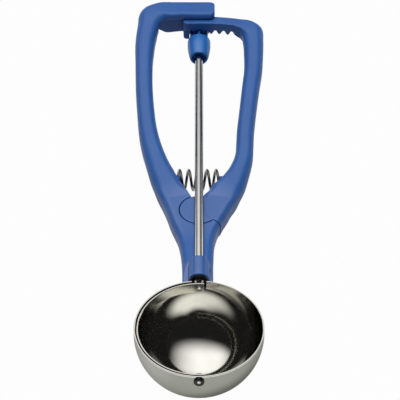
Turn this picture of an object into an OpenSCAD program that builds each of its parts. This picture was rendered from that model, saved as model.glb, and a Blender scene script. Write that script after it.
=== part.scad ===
// Lever ice cream scoop: a steel bowl with a scraper blade that half a turn of the shaft
// sweeps through it, driven by squeezing the lever handle against the frame handle.
// The bowl opens upward, the shaft runs along +Y from the bowl to the far end of the handles,
// and the lever is on the +X side. All lengths are millimetres.

/* [Bowl] */
// Inside radius of the bowl
bowl_r = 29; // [26:0.5:32]
// Thickness of the bowl's sheet
bowl_wall = 0.7; // [0.5:0.1:1]
// Height of the straight collar above the shaft line
collar_h = 3; // [2:0.5:5]

/* [Scraper] */
// Thickness of the scraper blade
blade_t = 0.8; // [0.6:0.1:1.2]
// Half width of the scraper blade
blade_half_w = 2.8; // [2:0.1:3.5]
// Room between the blade and the bowl
blade_gap = 0.45; // [0.3:0.05:0.8]
// Diameter of the rivet that the blade turns on at the bowl's front
rivet_d = 2.8; // [2.4:0.1:3.2]
// Diameter of that rivet's outer head
rivet_head_d = 4.9; // [4:0.1:6]
// Height of that rivet's outer head
rivet_head_h = 1.1; // [0.8:0.1:1.6]

/* [Shaft] */
// Diameter of the shaft
shaft_d = 4; // [3.6:0.1:4.2]
// Side of the square tenon that the blade is riveted on
tenon = 1.7; // [1.5:0.1:2]
// Diameter of the pin through the pinion and the shaft
cross_pin_d = 1.6; // [1.2:0.1:1.8]

/* [Neck] */
// Width of the neck
neck_w = 14.5; // [13.5:0.1:16]
// How far the neck's middle lies to the left of the shaft
neck_lean = 0.6; // [0:0.1:1]
// Diameter of the boss that carries the shaft
boss_d = 9.5; // [8:0.1:11]
// Length of that boss
boss_len = 12; // [9:0.5:15]
// How far the neck's shoulders fall beside the boss
shoulder_fall = 2.4; // [1.8:0.1:2.6]
// Distance from the bowl to the boss
notch_len = 2.8; // [2:0.1:4]
// Width of the bowl bracket's tongue
tongue_w = 9; // [7:0.5:10]
// Thickness of the bowl bracket's tongue
tongue_t = 1.8; // [1.4:0.1:2.2]
// Length of the bowl bracket's tongue inside the neck
tongue_len = 17; // [15:0.5:20]
// Width of the bowl bracket's saddle
saddle_w = 11.3; // [10:0.1:12]
// Diameter of the screws through the tongue
screw_d = 3; // [2.4:0.1:3.2]

/* [Pivot] */
// Distance from the bowl's centre to the pivot
pivot_y = 82; // [76:0.5:90]
// Radius of the lever's hub disc
hub_r = 9.25; // [8.5:0.25:10]
// Diameter of the pivot screw's shoulder
pivot_d = 5; // [4:0.1:6]
// Diameter of the pivot screw's thread
thread_d = 4; // [3:0.1:4.5]
// Diameter of the pivot screw's head
pivot_head_d = 9; // [7.5:0.1:10]
// Diameter of the brass insert in the lever's hub
insert_d = 7; // [6:0.1:8]

/* [Handles] */
// Half width of the handle loop, outside
loop_half_w = 32; // [30:0.1:36]
// Width of a grip
grip_w = 9.3; // [8.5:0.1:10.5]
// Thickness of the frame's grip
grip_h = 12; // [11:0.1:13]
// Thickness of the lever's grip
lever_h = 10.8; // [10:0.1:12]
// Depth of the frame's cross arm, front to back
arm_depth = 10.9; // [9:0.1:12]
// How far the cross arm reaches past the shaft
arm_reach = 7.9; // [6:0.1:8.5]
// Thickness of the wall at the back of the cross arm
back_wall = 6.8; // [5.5:0.1:8]
// Thickness of the roof over the rack
roof_t = 3.3; // [2.5:0.1:4]

/* [Rack and pinion] */
// Pitch of the teeth
tooth_pitch = 4.2; // [4.1:0.02:4.3]
// Turns of the shaft for one turn of the lever
gear_ratio = 30.5; // [30:0.25:31]
// Height of a tooth's tip above the pitch line
addendum = 0.95; // [0.8:0.05:1.05]
// Width of the rack, front to back
rack_w = 5.6; // [5:0.1:6.4]
// Height of the rack's bar above the roots of its teeth
rack_bar = 5.1; // [4.5:0.1:5.6]
// Largest diameter of the pinion's grip
pinion_d = 11.5; // [11:0.1:12.5]
// Diameter of the pinion's narrow end
pinion_nose_d = 9.2; // [8.8:0.1:10]
// Length of the pinion's body in front of the rack
pinion_len = 15; // [13:0.5:18]

/* [Spring] */
// Wire diameter of the return spring
wire_d = 1.4; // [1:0.1:1.5]
// Outside diameter of the return spring
spring_d = 11; // [10:0.1:11.4]
// Turns of the return spring
spring_turns = 5; // [4:0.5:6]
// Distance from the pivot to the return spring
spring_from_pivot = 25.4; // [24:0.2:27]

/* [Fits] */
// Radial clearance of a turning fit
run = 0.05; // [0.03:0.01:0.08]
// Gap between moulded parts that slide past each other
slide_gap = 0.3; // [0.2:0.05:0.4]
// Gap round a piece that is held still
seat_gap = 0.1; // [0.05:0.01:0.15]
// Gap round a bush in its hole
bush_gap = 0.01; // [0.01:0.01:0.03]

/* [Hidden] */
$fn = 64;

nylon_blue = "royalblue";
pinion_blue = "cornflowerblue";
bush_black = "dimgray";
steel = "silver";
brass = "goldenrod";

// The turning parts
pinion_teeth = 6;
shaft_r = shaft_d / 2;
bowl_out_r = bowl_r + bowl_wall;
bowl_slot_r = 3.4;
blade_out_r = bowl_r - blade_gap;
blade_in_r = blade_out_r - blade_t;
pitch_r = pinion_teeth * tooth_pitch / 360 * 180 / PI;
rack_r = gear_ratio * pitch_r;
mesh_y = pivot_y + rack_r;
rack_near_r = rack_r - rack_w / 2;
rack_far_r = rack_r + rack_w / 2;
tooth_angle = 360 / (gear_ratio * pinion_teeth);
stroke_angle = 180 / gear_ratio;
root_gap = 0.3;
tip_r = pitch_r + addendum;
root_r = pitch_r - addendum - root_gap;
rack_tip_z = pitch_r - addendum;
rack_root_z = tip_r + root_gap;
rack_top_z = rack_root_z + rack_bar;

// Heights of the moulded parts round the pivot
hub_h = 12;
hub_under_shaft = 0.6;
neck_step = 1.6;
hub_top_z = -shaft_r - hub_under_shaft;
hub_mid_z = hub_top_z - hub_h / 2;
hub_bottom_z = hub_top_z - hub_h;
neck_top_z = hub_top_z + neck_step;

// The frame's cross arm, from the pivot outward
channel_r = rack_far_r + 3 * slide_gap;
far_y = pivot_y + channel_r + back_wall;
loop_len = far_y - pivot_y;
rise_y = pivot_y + hub_r;
roof_under_z = rack_top_z + slide_gap;
arm_top_z = roof_under_z + roof_t;
arm_drop = 0.6;
arm_h = arm_top_z + arm_drop;
frame_rise = atan((arm_top_z - hub_top_z) / (far_y - arm_depth / 2 - rise_y));
lever_rise = atan((rack_top_z - hub_top_z) / (mesh_y - rise_y));
lug_r = 5.5;
stop_bottom_z = -0.3;
stop_right_x = tip_r * sin(360 / pinion_teeth) + 2 * slide_gap;
stop_left_x = stop_right_x + 3;
stop_round = 1.4;
rack_end_turn = asin(stop_left_x / rack_r);
stroke_x = rack_r * sin(stroke_angle);
pocket_x = stop_left_x + stroke_x + slide_gap;

// The pinion, from its narrow end to the rack's far side
pinion_back_y = mesh_y + rack_w / 2;
pinion_front_y = mesh_y - rack_w / 2 - pinion_len;
washer_t = 0.6;
held_gap = 0.02;

// The neck
boss_front_y = bowl_out_r + notch_len;
boss_back_y = boss_front_y + boss_len;
neck_bite = 6;
tongue_under_shaft = 5.6;
tongue_z = -shaft_r - tongue_under_shaft;
bracket_t = 0.9;
saddle_under_shaft = 2.5;
saddle_top_z = -shaft_r - saddle_under_shaft;
saddle_drop = 4.4;

// The whole scoop stands with its bowl on the ground and its middle over the origin
front_y = -bowl_out_r - rivet_head_h;
middle_y = (front_y + far_y) / 2;

module placed() {
    translate([0, -middle_y, bowl_out_r]) children();
}

// Turns children from the Z axis to lie along +Y
module along_y(y = 0) {
    translate([0, y, 0]) rotate([-90, 0, 0]) children();
}

module at_pivot() {
    translate([0, pivot_y, 0]) children();
}

// A ring about the pivot from radius r1 to r2 and height z1 to z2, between two angles from +Y
// that count towards -X
module pivot_ring(r1, r2, z1, z2, a1, a2) {
    at_pivot()
        rotate([0, 0, 90 + a1])
        rotate_extrude(angle = a2 - a1, $fn = 180)
        translate([r1, z1])
        square([r2 - r1, z2 - z1]);
}

// ---- moulded grips: a rounded section carried along a row of stations ----

loft_sides = 16;
loft_steps = 2;
grip_round = 0.8;
hub_round = 0.55;
arm_round = 0.2;
under_rounder = 0.2;

// A station is [outer x, outer y, direction from the outer to the inner edge, width, height,
// radius of its upper corners as a share of the section's lesser half]
function smooth(a, b, c, d, t) =
    ((2 * b) + (c - a) * t + (2 * a - 5 * b + 4 * c - d) * t * t
     + (3 * b - a - 3 * c + d) * t * t * t) / 2;

function between(rows, k, t) =
    let (n = len(rows) - 1)
    smooth(rows[max(k - 1, 0)], rows[k], rows[min(k + 1, n)], rows[min(k + 2, n)], t);

function stations(rows) = [
    for (k = [0 : len(rows) - 2])
        for (step = [0 : loft_steps - 1])
            between(rows, k, step / loft_steps),
    rows[len(rows) - 1]
];

// A corner of a section with half sizes a and b; the corners under the section are rounder
function corner(quarter, a, b, share) =
    let (
        r = min(a, b) * (quarter < 2 ? share : min(1, share + under_rounder)),
        right = (quarter == 0 || quarter == 3) ? 1 : -1,
        up = quarter < 2 ? 1 : -1,
        steps = loft_sides / 4 - 1
    )
    [for (k = [0 : steps])
        let (turn = 90 * (quarter + k / steps))
        [right * (a - r) + r * cos(turn), up * (b - r) + r * sin(turn)]];

function top_z(y, rise) =
    hub_top_z
    + max(0, y - rise_y) * tan(rise)
    + max(0, pivot_y - hub_r - y) / (pivot_y - hub_r) * (neck_top_z - hub_top_z);

function section(s, rise) =
    let (
        across = [cos(s[2]), sin(s[2])],
        middle = [s[0], s[1]] + across * s[3] / 2,
        middle_z = top_z(middle[1], rise) - s[4] / 2
    )
    [for (quarter = [0 : 3])
        for (q = corner(quarter, s[3] / 2, s[4] / 2, s[5]))
            let (p = middle + across * q[0])
            [p[0], p[1], middle_z + q[1]]];

// turned is true where the outer edge is on the right of the row
module loft(rows, rise, turned = false) {
    all = stations(rows);
    rings = len(all);
    n = loft_sides;
    points = [for (s = all) each section(s, rise)];
    walls = [for (i = [0 : rings - 2]) for (k = [0 : n - 1])
        [i * n + k, i * n + (k + 1) % n, (i + 1) * n + (k + 1) % n, (i + 1) * n + k]];
    near_end = [[for (k = [n - 1 : -1 : 0]) k]];
    far_end = [[for (k = [0 : n - 1]) (rings - 1) * n + k]];
    faces = concat(near_end, walls, far_end);
    backward = [for (face = faces) [for (k = [len(face) - 1 : -1 : 0]) face[k]]];
    polyhedron(points, turned ? backward : faces, convexity = 6);
}

// Places on the loop are shares of its half width and of its length from the pivot
function loop_x(share) = share * loop_half_w;
function loop_y(share) = pivot_y + share * loop_len;

// A station across the neck, with more width added on its left and on its right
function frame_row(y, left, right) =
    [-neck_w / 2 - neck_lean - left, y, 0, neck_w + left + right, hub_h, hub_round];
function loop_row(x, y, a, w, h, share = grip_round) =
    [loop_x(x), loop_y(y), a, w * grip_w, h, share];
function arm_row(x, y, a, w, h) = [x, y, a, w, h, arm_round];

frame_rows = concat(
    [
        frame_row(bowl_out_r - neck_bite, 0, 0),
        frame_row(boss_back_y, 0, 0),
        frame_row(boss_back_y + 10, 0.5, 0.2),
        frame_row(pivot_y - 2.2 * hub_r, 1.4, 0.5),
        frame_row(pivot_y - 1.7 * hub_r, 2.4, 1.2),
        frame_row(pivot_y - 1.2 * hub_r, 4, 2.3)
    ],
    [
        loop_row(-0.424, -0.045, 3, 2.65, hub_h, hub_round),
        loop_row(-0.489, 0.012, 10, 2.7, hub_h, hub_round),
        loop_row(-0.548, 0.054, 12, 1.95, hub_h, hub_round),
        loop_row(-0.621, 0.097, 6, 1.57, hub_h, hub_round),
        loop_row(-0.684, 0.136, 0, 1.56, hub_h),
        loop_row(-0.733, 0.172, 0, 1.5, grip_h),
        loop_row(-0.806, 0.245, 0, 1.23, grip_h),
        loop_row(-0.875, 0.32, 0, 1.08, grip_h),
        loop_row(-0.92, 0.397, 0, 0.97, grip_h),
        loop_row(-0.948, 0.486, 0, 0.91, grip_h),
        loop_row(-0.976, 0.595, 0, 0.9, grip_h),
        loop_row(-0.988, 0.715, 0, 0.92, grip_h),
        loop_row(-0.996, 0.785, -2, 1.02, grip_h),
        loop_row(-0.987, 0.842, -13, 1.08, grip_h),
        loop_row(-0.965, 0.9, -30, 1.23, grip_h),
        loop_row(-0.94, 0.957, -42, 1.46, grip_h),
        loop_row(-0.83, 0.992, -52, 1.5, grip_h)
    ],
    [
        arm_row(loop_x(-0.62), far_y, -66, 1.12 * arm_depth, arm_h),
        arm_row(loop_x(-0.38), far_y, -84, arm_depth, arm_h),
        arm_row(loop_x(-0.12), far_y, -90, arm_depth, arm_h),
        arm_row(arm_reach - 2.4, far_y, -90, arm_depth, arm_h),
        arm_row(arm_reach - 0.6, far_y - 0.8, -90, arm_depth - 1.4, arm_h - 0.8),
        arm_row(arm_reach, far_y - 2.4, -90, arm_depth - 4, arm_h - 3)
    ]
);

lever_rows = concat(
    [
        loop_row(0.25, -0.11, 145, 1.1, hub_h, hub_round),
        loop_row(0.322, -0.062, 150, 1.15, hub_h, hub_round),
        loop_row(0.422, -0.01, 160, 1.5, hub_h, hub_round),
        loop_row(0.486, 0.027, 165, 1.62, hub_h, hub_round),
        loop_row(0.558, 0.061, 170, 1.76, hub_h, hub_round),
        loop_row(0.631, 0.097, 175, 1.76, hub_h),
        loop_row(0.694, 0.136, 180, 1.73, hub_h),
        loop_row(0.735, 0.172, 180, 1.41, lever_h + 0.6),
        loop_row(0.784, 0.223, 180, 1.11, lever_h),
        loop_row(0.818, 0.278, 180, 0.94, lever_h),
        loop_row(0.83, 0.338, 180, 0.91, lever_h),
        loop_row(0.842, 0.397, 180, 0.91, lever_h),
        loop_row(0.88, 0.495, 180, 0.9, lever_h),
        loop_row(0.933, 0.605, 180, 0.93, lever_h),
        loop_row(0.982, 0.695, 180, 0.97, lever_h),
        loop_row(1.004, 0.785, 181, 1.04, lever_h),
        loop_row(1.009, 0.845, 192, 1.11, lever_h),
        loop_row(0.992, 0.902, 214, 1.27, lever_h)
    ],
    [
        rack_row(12, 0.1, 228, 7.9, lever_h - 2.2),
        rack_row(9.7, 0, 245, 6.4, rack_bar + 2),
        rack_row(8.2, 0, 262, rack_w, rack_bar),
        rack_row(5, 0, 265, rack_w, rack_bar),
        rack_row(1, 0, 269, rack_w, rack_bar),
        rack_row(0.6 - rack_end_turn, 0, 273, rack_w, rack_bar),
        rack_row(-rack_end_turn, -0.8, 274, rack_w - 1.6, rack_bar - 1)
    ]
);

// A station whose outer point is just beyond the rack's far face, at an angle from the shaft line
function rack_row(turn, out, a, w, h) =
    let (r = rack_far_r + out)
    [r * sin(turn), pivot_y + r * cos(turn), a, w, h, arm_round];

// The return spring, whose seats are let into the inner sides of the grips
spring_y = pivot_y + spring_from_pivot;
spring_r = (spring_d - wire_d) / 2;
spring_under_shaft = 0.5;
spring_z = -shaft_r - spring_under_shaft - spring_d / 2;
seat_depth = 1.02;
seat_x = seat_depth - lookup(spring_y, [for (s = frame_rows) [s[1], s[0] + s[3] * cos(s[2])]]);
spring_len = 2 * (seat_x - seat_gap);
stud_r = 2;
stud_len = 3;

// ---- the hub, where the lever is let into the frame's upper half ----

lap_z = hub_mid_z;
seam_start_x = 5.9;
seam_slope = -0.15;
crotch_x = -3.8;
seam_far_x = loop_half_w + grip_w;
seam_end_y = pivot_y + 0.3 * loop_len;

// The side of the seam that belongs to the lever, in plan, moved out by gap
module lever_side(gap) {
    start_y = pivot_y - sqrt(hub_r * hub_r - seam_start_x * seam_start_x);
    polygon([
        [seam_start_x - 3, start_y - gap + 3],
        [seam_start_x, start_y - gap + 0.5],
        [seam_start_x + 1.2, start_y - gap + 0.25],
        [seam_start_x + 2.4, start_y - gap - 0.3],
        [seam_start_x + 4.4, start_y - gap - 1.5],
        [seam_far_x, start_y - gap - 1.5 + (seam_far_x - seam_start_x - 4.4) * seam_slope],
        [seam_far_x, seam_end_y],
        [crotch_x - 6, seam_end_y],
        [crotch_x - 6, pivot_y + hub_r + 12.5],
        [crotch_x, pivot_y + hub_r - 0.2]
    ]);
}

// The room that the lever takes out of the frame round the pivot
module lever_room(gap) {
    translate([0, 0, lap_z]) linear_extrude(hub_h) lever_side(gap);
    translate([0, 0, lap_z])
        at_pivot() cylinder(r = hub_r + gap, h = hub_h);
    difference() {
        translate([0, 0, hub_bottom_z - 2]) linear_extrude(hub_h / 2 + 3) lever_side(gap);
        at_pivot() translate([0, 0, hub_bottom_z - 3]) cylinder(r = hub_r, h = hub_h / 2 + 5);
    }
}

// ---- steel parts ----

module bowl() {
    color(steel) placed() difference() {
        rotate_extrude($fn = 96) difference() {
            union() {
                intersection() {
                    circle(r = bowl_out_r, $fn = 128);
                    translate([0, -bowl_out_r]) square([bowl_out_r, bowl_out_r]);
                }
                square([bowl_out_r, collar_h]);
            }
            circle(r = bowl_r, $fn = 128);
            square([bowl_r, 2 * collar_h]);
        }
        along_y(bowl_r - 3) cylinder(r = bowl_slot_r, h = 6);
        translate([-bowl_slot_r, bowl_r - 3, 0]) cube([2 * bowl_slot_r, 6, 2 * collar_h]);
        along_y(-bowl_out_r - 3) cylinder(d = rivet_d + 2 * run, h = 6);
    }
}

module ball_band(r1, r2, z1, z2, a1, a2) {
    rotate([0, 0, a1]) rotate_extrude(angle = a2 - a1, $fn = 96) intersection() {
        difference() {
            circle(r = r2, $fn = 128);
            circle(r = r1, $fn = 128);
        }
        translate([0, z1]) square([r2 + 1, z2 - z1]);
    }
}

module bowl_bracket() {
    color(steel) placed() difference() {
        union() {
            saddle(0);
            translate([-tongue_w / 2, bowl_out_r - bracket_t, tongue_z - tongue_t / 2])
                cube([tongue_w, tongue_len, tongue_t]);
        }
        sphere(r = bowl_out_r, $fn = 128);
        bracket_screw_places()
            cylinder(d = screw_d + 2 * seat_gap, h = 3 * tongue_t, center = true);
    }
}

// The curved sheet that lies on the back of the bowl, larger all round by gap
module saddle(gap) {
    half_turn = asin((saddle_w / 2 + gap) / bowl_out_r);
    ball_band(bowl_out_r - 2 * gap, bowl_out_r + bracket_t + gap,
              tongue_z - saddle_drop - gap, saddle_top_z + gap, 90 - half_turn, 90 + half_turn);
}

module bracket_screw_places() {
    for (share = [0.36, 0.78])
        translate([0, bowl_out_r + share * tongue_len, tongue_z]) children();
}

screw_head_d = 1.8 * screw_d;
screw_head_h = 1.6;
screw_up = 2.6;
screw_sink = 2.2;
neck_bottom_z = neck_top_z - hub_h - 0.6;

module bracket_screws() {
    color(steel) placed() bracket_screw_places() {
        translate([0, 0, neck_bottom_z - tongue_z + screw_sink - screw_head_h])
            cylinder(d = screw_head_d, h = screw_head_h);
        translate([0, 0, neck_bottom_z - tongue_z + screw_sink - 0.1])
            cylinder(d = screw_d, h = tongue_z + screw_up - neck_bottom_z - screw_sink);
    }
}

module blade_rivet() {
    color(steel) placed() {
        along_y(-bowl_out_r + rivet_bite) mirror([0, 0, 1]) difference() {
            round_at = [rivet_head_d / 2 - rivet_round, rivet_head_h - rivet_round];
            cylinder(d = rivet_head_d, h = rivet_head_h);
            rotate_extrude() translate(round_at) difference() {
                square(2 * rivet_round);
                circle(r = rivet_round, $fn = 32);
            }
        }
        along_y(-bowl_out_r - 0.1) cylinder(d = rivet_d, h = rivet_len());
        along_y(-bowl_out_r + rivet_len() - rivet_lip_h)
            cylinder(d = rivet_d + rivet_lip_w, h = rivet_lip_h);
    }
}

rivet_round = 0.7;
rivet_bite = 0.02;
rivet_lip_w = 1.4;
rivet_lip_h = 0.7;
blade_washer_t = 0.4;
washer_back = 0.2;
function rivet_len() =
    bowl_out_r - blade_in_r + washer_back + blade_washer_t + seat_gap + rivet_lip_h;

module blade_washer() {
    color(steel) placed()
        along_y(-blade_in_r + washer_back) difference() {
            cylinder(d = rivet_d + 2.4, h = blade_washer_t);
            translate([0, 0, -1]) cylinder(d = rivet_d + 2 * run, h = 3);
        }
}

tab_len = 2.4;

module scraper_blade() {
    tab_turn = asin(tab_len / blade_out_r);
    color(steel) placed() difference() {
        ball_band(blade_in_r, blade_out_r, -blade_half_w, blade_half_w,
                  90 - tab_turn, 270 + tab_turn);
        along_y(blade_in_r) cube([tenon + seat_gap, tenon + seat_gap, 6], center = true);
        along_y(-blade_out_r - 1) cylinder(d = rivet_d + 2 * run, h = 4);
    }
}

shaft_head_h = 0.5;
shaft_end_in = 0.3;
shank = tenon + 0.5;
function rod_start_y() = boss_front_y - bush_flange_t - 0.1;

// The rod ends at the bush; a thinner shank and the tenon reach from there through the blade
module shaft() {
    color(steel) placed() difference() {
        union() {
            along_y(rod_start_y()) cylinder(r = shaft_r, h = far_y - shaft_end_in - rod_start_y());
            translate([-shank / 2, blade_out_r, -shank / 2])
                cube([shank, rod_start_y() + 0.5 - blade_out_r, shank]);
            along_y((blade_in_r + blade_out_r) / 2) cube([tenon, tenon, blade_t + 1], center = true);
            along_y(blade_in_r - shaft_head_h - 0.1) cylinder(d = 1.6 * tenon, h = shaft_head_h);
        }
        cross_pin_hole();
        along_y(clip_y()) difference() {
            cylinder(r = shaft_r + 1, h = clip_t + 2 * run);
            translate([0, 0, -1]) cylinder(r = shaft_r - groove_depth, h = 4);
        }
    }
}

pin_sink = 1.1;
function pin_y() = pinion_front_y + 0.42 * pinion_len;

module cross_pin_hole() {
    translate([0, pin_y(), 0]) rotate([0, 90, 0])
        cylinder(d = cross_pin_d + 2 * held_gap, h = 2 * pinion_d, center = true);
}

module pinion_pin() {
    color(steel) placed() translate([0, pin_y(), 0]) rotate([0, 90, 0])
        cylinder(d = cross_pin_d, h = pinion_d - 2 * pin_sink, center = true);
}

clip_t = 0.7;
clip_r = 3.6;
clip_washer_t = 0.4;
clip_depth = 0.75;
clip_room = 0.5;
groove_depth = 0.5;
function clip_y() = far_y - clip_t - clip_depth;
function clip_floor_y() = clip_y() - clip_washer_t - run;

module end_clip() {
    clip_in_r = shaft_r - groove_depth + run;
    color(steel) placed() along_y(clip_y() + run)
        rotate([0, 0, 30]) rotate_extrude(angle = 300)
        translate([clip_in_r, 0]) square([clip_r - clip_in_r, clip_t]);
}

// The washer between the clip and the bottom of its recess
module clip_washer() {
    color(steel) placed() along_y(clip_y() - clip_washer_t) difference() {
        cylinder(r = clip_r, h = clip_washer_t);
        translate([0, 0, -1]) cylinder(r = shaft_r + run, h = 3);
    }
}

module thrust_washer() {
    color(steel) placed() along_y(pinion_back_y + run) difference() {
        cylinder(r = tip_r - 0.4, h = washer_t);
        translate([0, 0, -1]) cylinder(r = shaft_r + run, h = 3);
    }
}

// ---- the bushes that the shaft turns in ----

bush_r = 3.3;
bush_flange_r = 4.4;
bush_flange_t = 0.9;
front_bush_len = 5;

// Flanged, let into the near end of the boss
module front_bush() {
    color(bush_black) placed() difference() {
        union() {
            along_y(boss_front_y - bush_flange_t) cylinder(r = bush_flange_r, h = bush_flange_t);
            along_y(boss_front_y - 0.1) cylinder(r = bush_r, h = front_bush_len + 0.1);
        }
        along_y(bowl_out_r) cylinder(r = shaft_r + run, h = boss_len);
    }
}

// Plain, let into the lug at the shaft's far end
module rear_bush() {
    wall_y = pivot_y + channel_r;
    color(bush_black) placed() along_y(wall_y) difference() {
        cylinder(r = bush_r, h = clip_floor_y() - wall_y);
        translate([0, 0, -1]) cylinder(r = shaft_r + run, h = back_wall);
    }
}

module bush_holes() {
    along_y(bowl_out_r - 2) cylinder(r = bush_flange_r + seat_gap, h = notch_len + 2);
    along_y(boss_front_y - 1) cylinder(r = bush_r + bush_gap, h = front_bush_len + 1);
    along_y(pivot_y + channel_r - 1) cylinder(r = bush_r + bush_gap, h = back_wall);
}

// ---- the pinion ----

tooth_tip_w = 0.9;
tooth_root_w = 2.3;
nose_wall = 0.9;
nose_depth = 3;

// One pinion tooth's outline, pointing along +Y, with curved flanks
module pinion_tooth() {
    steps = 5;
    function half_at(t) = tooth_root_w / 2 + (tooth_tip_w - tooth_root_w) / 2 * pow(t, 1.5);
    right = [for (k = [0 : steps]) let (t = k / steps)
        [half_at(t), root_r - 0.3 + (tip_r - root_r + 0.3) * t]];
    left = [for (k = [steps : -1 : 0]) [-right[k][0], right[k][1]]];
    polygon(concat(right, left));
}

module pinion_gear(len) {
    linear_extrude(len) {
        circle(r = root_r);
        for (k = [0 : pinion_teeth - 1])
            rotate([0, 0, k * 360 / pinion_teeth]) pinion_tooth();
    }
}

module pinion() {
    gear_show = 1.9;
    body = pinion_len - gear_show;
    color(pinion_blue) placed() difference() {
        union() {
            along_y(pinion_front_y + body - 0.5) pinion_gear(gear_show + rack_w + 0.5);
            along_y(pinion_front_y) rotate_extrude() polygon([
                [0, 0],
                [pinion_nose_d / 2 - 0.7, 0],
                [pinion_nose_d / 2 - 0.2, 0.2],
                [pinion_nose_d / 2, 0.8],
                [pinion_nose_d / 2 + 0.45, 0.2 * body],
                [pinion_d / 2 - 0.3, 0.42 * body],
                [pinion_d / 2, 0.62 * body],
                [pinion_d / 2, body - 1.1],
                [pinion_d / 2 - 0.9, body],
                [0, body]
            ]);
        }
        along_y(pinion_front_y - 1) cylinder(r = shaft_r + held_gap, h = pinion_len + rack_w + 2);
        along_y(pinion_front_y - 1) cylinder(r = pinion_nose_d / 2 - nose_wall, h = 1 + nose_depth);
        cross_pin_hole();
    }
}

// ---- the frame handle ----

module frame_handle() {
    color(nylon_blue) placed() difference() {
        union() {
            difference() {
                loft(frame_rows, frame_rise);
                rack_channel();
                neck_shoulders();
            }
            neck_boss();
            bearing_lug();
        }
        bowl_seat();
        lever_room(slide_gap);
        along_y(bowl_out_r - 5)
            cylinder(r = shaft_r + slide_gap, h = boss_back_y + 10 - bowl_out_r);
        bush_holes();
        along_y(clip_floor_y()) cylinder(r = clip_r + clip_room, h = back_wall);
        shaft_groove();
        spring_pocket(-1);
        pivot_hole();
        bracket_room();
    }
    color(nylon_blue) placed() spring_stud(-1);
}

// The bearing for the shaft's far end, hanging from the back wall of the cross arm
module bearing_lug() {
    depth = back_wall;
    along_y(far_y - depth) cylinder(r = lug_r, h = depth);
    translate([-lug_r, far_y - depth, 0]) cube([2 * lug_r, depth, arm_top_z - 2]);
}

// The boss for the shaft's near end, standing on the neck
module neck_boss() {
    along_y(bowl_out_r - 3) cylinder(d = boss_d, h = boss_back_y - bowl_out_r + 3);
    translate([-boss_d / 2, bowl_out_r - 3, neck_top_z - shoulder_fall - 2])
        cube([boss_d, boss_len + notch_len + 3, shoulder_fall - neck_top_z + 2]);
}

// Beside the boss the neck's top falls towards the bowl
module neck_shoulders() {
    start_y = boss_back_y + 2;
    start_z = top_z(start_y, 0);
    translate([neck_w, start_y, start_z]) rotate([0, -90, 0]) linear_extrude(2 * neck_w) polygon([
        [0, 0],
        [5, 0],
        [5, -start_y],
        [-shoulder_fall * (start_y - bowl_out_r + 5) / (start_y - bowl_out_r), bowl_out_r - 5 - start_y]
    ]);
}

// The channel that the rack moves in, under the cross arm's roof
module rack_channel() {
    far_turn = asin(pocket_x / rack_r);
    pivot_ring(rack_near_r - 16, channel_r, hub_bottom_z, roof_under_z, -20, far_turn);
}

// The bowl, the bracket's saddle and the gap in front of the boss
module bowl_seat() {
    sphere(r = bowl_out_r + run, $fn = 128);
    cylinder(r = bowl_out_r + run, h = 20, $fn = 128);
    translate([-neck_w, 0, -shaft_r - 1]) cube([2 * neck_w, boss_front_y, 20]);
}

module bracket_room() {
    saddle(seat_gap);
    translate([-tongue_w / 2 - seat_gap, bowl_out_r - 2, tongue_z - tongue_t / 2 - seat_gap])
        cube([tongue_w + 2 * seat_gap, tongue_len + 2, tongue_t + 2 * seat_gap]);
    bracket_screw_places() {
        translate([0, 0, -hub_h]) cylinder(d = screw_d + 2 * seat_gap, h = hub_h + screw_up + 0.2);
        translate([0, 0, neck_bottom_z - tongue_z + screw_sink - hub_h])
            cylinder(d = screw_head_d + 0.4, h = hub_h);
    }
}

// A shallow way for the shaft over the shoulders of the frame
module shaft_groove() {
    way = shaft_r + slide_gap;
    way_len = mesh_y - boss_back_y - pinion_len - rack_w;
    along_y(boss_back_y) cylinder(r = way, h = way_len);
    translate([-way, boss_back_y, 0]) cube([2 * way, way_len, 10]);
}

pivot_head_h = 2;
counterbore = 3;

module pivot_hole() {
    at_pivot() {
        translate([0, 0, hub_bottom_z - 1]) cylinder(r = pivot_d / 2 + run, h = hub_h);
        translate([0, 0, hub_bottom_z - 1]) cylinder(d = pivot_head_d + 1, h = counterbore + 1);
    }
}

// ---- the lever handle ----

module lever_handle() {
    color(nylon_blue) placed() difference() {
        union() {
            difference() {
                intersection() {
                    loft(lever_rows, lever_rise, turned = true);
                    translate([0, 0, -bowl_out_r]) linear_extrude(3 * bowl_out_r)
                        lever_and_rack_side();
                }
                at_pivot() translate([0, 0, hub_bottom_z - 3])
                    cylinder(r = hub_r + slide_gap, h = hub_h / 2 + 3 + slide_gap / 2);
            }
            at_pivot() translate([0, 0, lap_z + slide_gap / 2])
                cylinder(r = hub_r, h = hub_h / 2 - slide_gap / 2);
            rack_teeth();
            stop_lug();
        }
        spring_pocket(1);
        at_pivot() translate([0, 0, lap_z - 1])
            cylinder(d = insert_d + 2 * seat_gap, h = 1 + insert_len + seat_gap);
    }
    color(nylon_blue) placed() spring_stud(1);
}

module lever_and_rack_side() {
    lever_side(0);
    translate([-loop_half_w, seam_end_y - 1]) square([loop_half_w + seam_far_x, loop_len]);
}

// The teeth stand under the rack's bar and point down at the pinion
module rack_teeth() {
    for (k = [-5 : 0])
        rack_tooth((k + 0.5) * tooth_angle);
}

tooth_inset = 0.3;
rack_tip_w = 0.8;
rack_gap_w = 0.9;

module rack_tooth(turn) {
    root_w = tooth_pitch - rack_gap_w;
    at_pivot() rotate([0, 0, turn]) translate([0, rack_far_r - tooth_inset, 0])
        rotate([90, 0, 0]) linear_extrude(rack_w - 2 * tooth_inset) polygon([
            [-rack_tip_w / 2, rack_tip_z],
            [rack_tip_w / 2, rack_tip_z],
            [root_w / 2, rack_root_z + 0.01],
            [root_w / 2, rack_root_z + 1],
            [-root_w / 2, rack_root_z + 1],
            [-root_w / 2, rack_root_z + 0.01]
        ]);
}

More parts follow.
